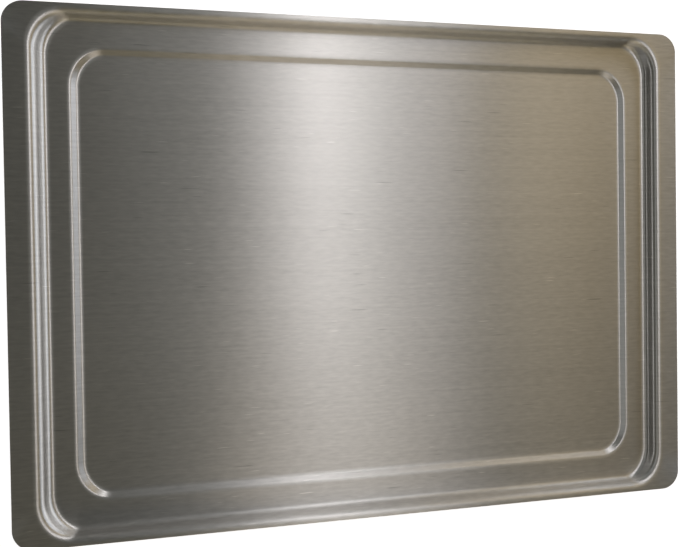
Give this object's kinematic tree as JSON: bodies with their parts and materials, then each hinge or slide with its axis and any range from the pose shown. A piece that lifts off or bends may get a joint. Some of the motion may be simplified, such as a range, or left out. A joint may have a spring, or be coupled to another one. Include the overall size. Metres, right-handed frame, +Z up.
{
  "type": "cookie sheet",
  "caption": "Shallow rectangular cookie sheet pressed from brushed steel, with a flat rim, sloped walls, a ledge and a sunk flat panel, for baking or holding food in an oven.",
  "frame": {"origin": "under the middle of the sunk floor panel, on the surface that the sheet stands on", "axes": "+X along the long side, +Y along the short side, +Z up out of the open side"},
  "size_m": [0.457, 0.334, 0.0125],
  "materials": {
    "brushed_sheet": "hairline brushed along the long side"
  },
  "bodies": {
    "root": {"pressed_tray": "brushed_sheet"}
  },
  "joints": []
}
